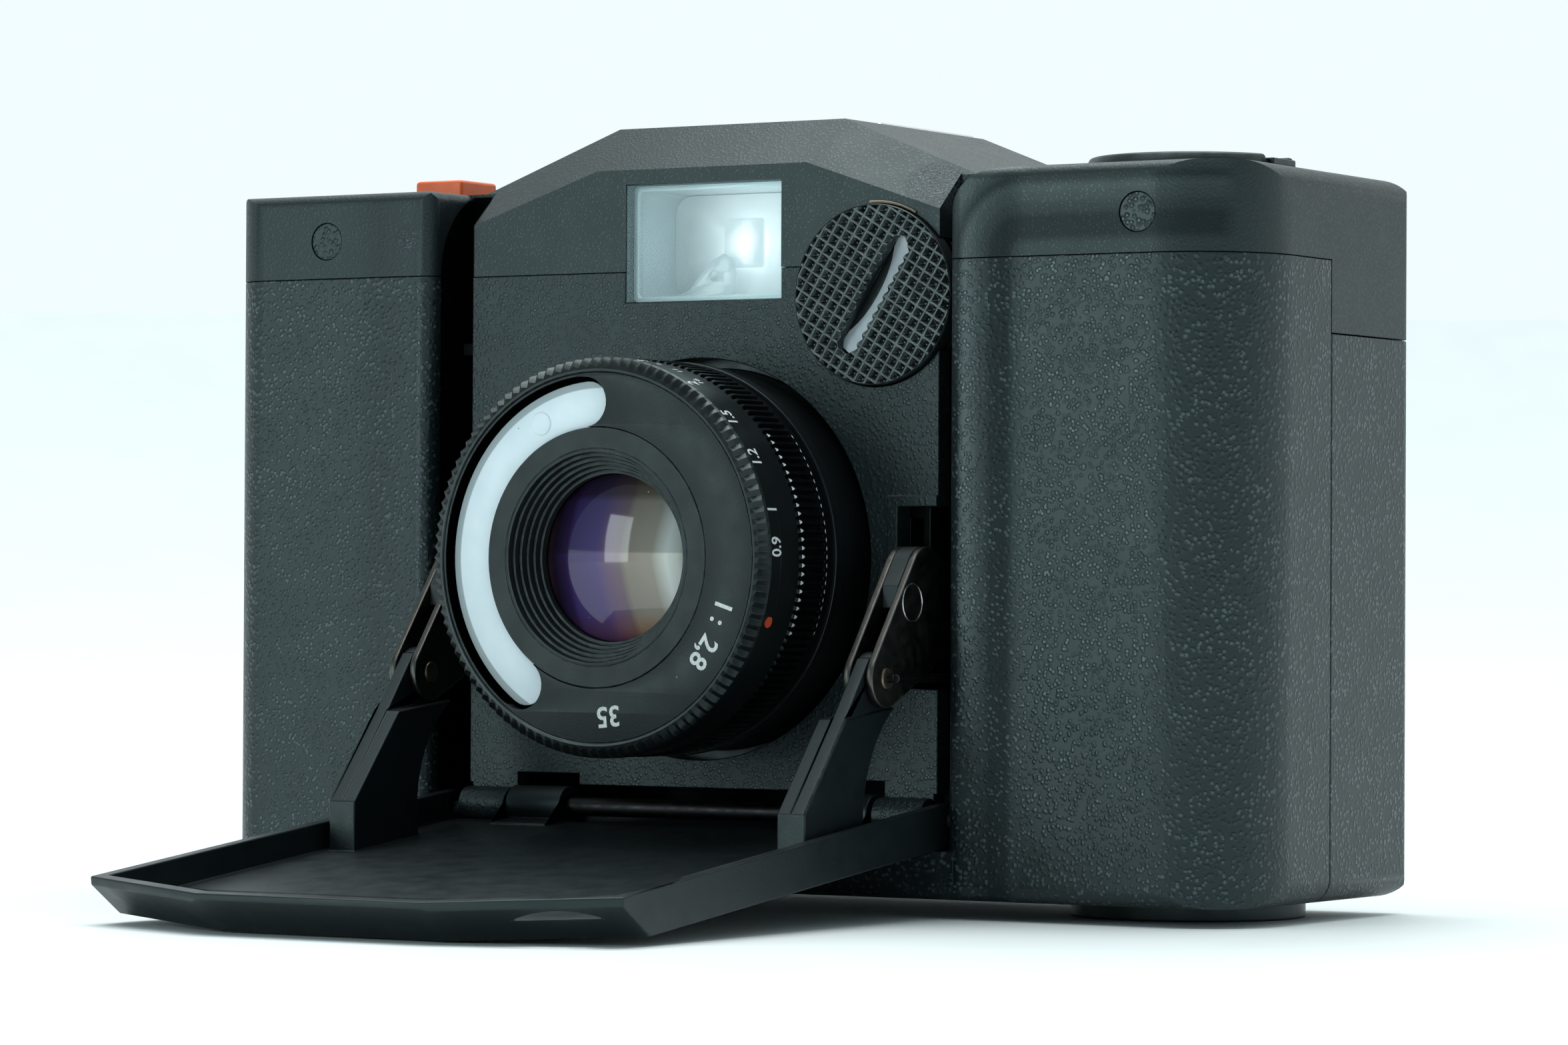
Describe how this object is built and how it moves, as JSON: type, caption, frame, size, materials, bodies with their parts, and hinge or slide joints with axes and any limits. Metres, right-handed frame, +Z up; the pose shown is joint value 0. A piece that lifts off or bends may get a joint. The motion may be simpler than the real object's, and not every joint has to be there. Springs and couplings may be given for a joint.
{
  "type": "folding 35 mm film camera",
  "caption": "Compact black 35 mm film camera with a drop-down front door, a lens that draws out on side links, a finder hump and a rewind crank.",
  "frame": {"origin": "middle of the bounding box with the door open, on the surface that the camera stands on", "axes": "+X to the rewind knob side, +Y from the lens to the back, +Z up"},
  "size_m": [0.1, 0.083, 0.0662],
  "materials": {
    "textured_plastic": "fine moulded texture",
    "panel_plastic": "fine moulded texture",
    "door_plastic": "smooth satin inside",
    "fitting_plastic": "satin",
    "inner_plastic": "matt",
    "lens_black": "satin black",
    "shutter_steel": "blackened",
    "link_steel": "worn black oxide",
    "link_block_black": "satin",
    "pin_brass": "aged",
    "bright_steel": "satin",
    "plate_black": "gloss",
    "meter_grey": "diffuse",
    "scale_white": "satin",
    "release_orange": "satin",
    "finder_glass": "clear",
    "coated_glass": "coated"
  },
  "bodies": {
    "camera_body": {"front_shell": "textured_plastic", "front_panel": "panel_plastic", "top_cover": "textured_plastic", "chassis": "inner_plastic", "chassis_roof": "inner_plastic", "film_gate": "inner_plastic", "hinge_shaft": "link_steel", "guide_rods": "bright_steel", "finder_window": "finder_glass", "finder_housing": "inner_plastic", "finder_lens": "finder_glass", "finder_scale": "scale_white", "eyepiece_frame": "fitting_plastic", "eyepiece_lens": "finder_glass", "hot_shoe": "bright_steel", "flash_contact": "pin_brass", "battery_tube": "inner_plastic", "battery": "bright_steel", "battery_spring": "pin_brass", "counter_window": "finder_glass", "screw_covers": "fitting_plastic"},
    "door": {"door": "door_plastic"},
    "left_link": {"left_link_plates": "link_steel", "left_link_block": "link_block_black", "left_link_pins": "pin_brass", "left_pull_wire": "link_steel"},
    "right_link": {"right_link_plates": "link_steel", "right_link_block": "link_block_black", "right_link_pins": "pin_brass", "right_pull_wire": "link_steel"},
    "lens": {"lens_carriage": "lens_black", "lens_barrel": "lens_black", "face_plate": "lens_black", "meter_window": "meter_grey", "baffle_ring": "lens_black", "front_lens": "coated_glass", "aperture_plate": "lens_black", "rear_lens_cell": "lens_black", "rear_lens": "coated_glass"},
    "focus": {"focus_ring": "lens_black"},
    "aperture": {"aperture_ring": "lens_black"},
    "left_blade": {"left_shutter_blade": "shutter_steel"},
    "right_blade": {"right_shutter_blade": "shutter_steel"},
    "release": {"release_button": "release_orange"},
    "lever": {"advance_lever": "fitting_plastic"},
    "spool": {"take_up_spool": "inner_plastic"},
    "film_sprocket": {"sprocket": "bright_steel"},
    "counter": {"counter_dial": "scale_white"},
    "rewind": {"rewind_knob": "fitting_plastic", "rewind_shaft": "bright_steel"},
    "crank": {"rewind_crank": "fitting_plastic"},
    "back": {"back_cover": "textured_plastic", "pressure_plate": "plate_black", "pressure_spring": "bright_steel"},
    "lock": {"lock_disc": "fitting_plastic"},
    "cap": {"battery_cap": "fitting_plastic"},
    "film_speed": {"film_speed_dial": "fitting_plastic"},
    "rewind_release": {"rewind_release_button": "fitting_plastic"},
    "battery_check": {"battery_check_button": "fitting_plastic"}
  },
  "joints": [
    {"name": "door_hinge", "type": "hinge", "parent": "camera_body", "child": "door", "pos_m": [-0.0025, 0.01204, 0.00815], "axis": [1, 0, 0], "range_deg": [-95.9, 0]},
    {"name": "lens_slide", "type": "slide", "parent": "camera_body", "child": "lens", "axis": [0, 1, 0], "range_m": [0, 0.017]},
    {"name": "left_link_hinge", "type": "hinge", "parent": "door", "child": "left_link", "pos_m": [-0.02485, 0.00395, 0.01949], "axis": [1, 0, 0], "range_deg": [0, 119]},
    {"name": "right_link_hinge", "type": "hinge", "parent": "door", "child": "right_link", "pos_m": [0.01985, 0.00395, 0.01949], "axis": [1, 0, 0], "range_deg": [0, 119]},
    {"name": "focus_turn", "type": "hinge", "parent": "lens", "child": "focus", "pos_m": [-0.0025, -0.00126, 0.0291], "axis": [0, -1, 0], "range_deg": [-45, 90]},
    {"name": "aperture_turn", "type": "hinge", "parent": "lens", "child": "aperture", "pos_m": [-0.0025, 0.00574, 0.0291], "axis": [0, -1, 0], "range_deg": [-30, 45]},
    {"name": "left_blade_swing", "type": "hinge", "parent": "lens", "child": "left_blade", "pos_m": [-0.0055, 0.00344, 0.0384], "axis": [0, 1, 0], "range_deg": [0, 25]},
    {"name": "right_blade_swing", "type": "hinge", "parent": "lens", "child": "right_blade", "pos_m": [0.0005, 0.00379, 0.0384], "axis": [0, 1, 0], "range_deg": [-25, 0]},
    {"name": "release_press", "type": "slide", "parent": "camera_body", "child": "release", "axis": [0, 0, -1], "range_m": [0, 0.0012], "stiffness_N_per_m": 400, "springref_m": -0.0005},
    {"name": "lever_swing", "type": "hinge", "parent": "camera_body", "child": "lever", "pos_m": [-0.0425, 0.02924, 0.0555], "axis": [0, 0, 1], "range_deg": [0, 85], "stiffness_Nm_per_rad": 0.01, "springref_deg": -17.19},
    {"name": "sprocket_turn", "type": "hinge", "parent": "camera_body", "child": "film_sprocket", "pos_m": [-0.0275, 0.03074, 0.0445], "axis": [0, 0, 1], "continuous": true},
    {"name": "spool_turn", "type": "hinge", "parent": "camera_body", "child": "spool", "pos_m": [-0.039, 0.02424, 0.0265], "axis": [0, 0, 1], "continuous": true},
    {"name": "counter_turn", "type": "hinge", "parent": "camera_body", "child": "counter", "pos_m": [-0.038, 0.03434, 0.0582], "axis": [0, 0, 1], "continuous": true},
    {"name": "rewind_turn", "type": "hinge", "parent": "camera_body", "child": "rewind", "pos_m": [0.0364, 0.02674, 0.0565], "axis": [0, 0, 1], "continuous": true},
    {"name": "crank_fold", "type": "hinge", "parent": "rewind", "child": "crank", "pos_m": [0.0304, 0.02674, 0.0615], "axis": [0, -1, 0], "range_deg": [0, 150]},
    {"name": "back_slide", "type": "slide", "parent": "camera_body", "child": "back", "axis": [0, 0, -1], "range_m": [0, 0.065]},
    {"name": "lock_turn", "type": "hinge", "parent": "back", "child": "lock", "pos_m": [0.0364, 0.02674, 0.0015], "axis": [0, 0, 1], "range_deg": [0, 90]},
    {"name": "cap_turn", "type": "hinge", "parent": "camera_body", "child": "cap", "pos_m": [0.0147, 0.01374, 0.0508], "axis": [0, -1, 0], "range_deg": [0, 60]},
    {"name": "film_speed_turn", "type": "hinge", "parent": "camera_body", "child": "film_speed", "pos_m": [-0.0364, 0.02674, 0.0015], "axis": [0, 0, -1], "range_deg": [-150, 150]},
    {"name": "rewind_release_press", "type": "slide", "parent": "camera_body", "child": "rewind_release", "axis": [0, 0, 1], "range_m": [0, 0.0006], "stiffness_N_per_m": 300, "springref_m": -0.0003},
    {"name": "battery_check_press", "type": "slide", "parent": "camera_body", "child": "battery_check", "axis": [0, -1, 0], "range_m": [0, 0.0006], "stiffness_N_per_m": 300, "springref_m": -0.0003}
  ],
  "couplings": [
    {"joint": "lens_slide", "follows": "door_hinge", "m_per_rad": -0.010157},
    {"joint": "left_link_hinge", "follows": "door_hinge", "ratio": -1.2206},
    {"joint": "right_link_hinge", "follows": "door_hinge", "ratio": -1.2206},
    {"joint": "right_blade_swing", "follows": "left_blade_swing", "ratio": -1},
    {"joint": "spool_turn", "follows": "sprocket_turn", "ratio": 0.85},
    {"joint": "counter_turn", "follows": "sprocket_turn", "ratio": 0.025}
  ]
}
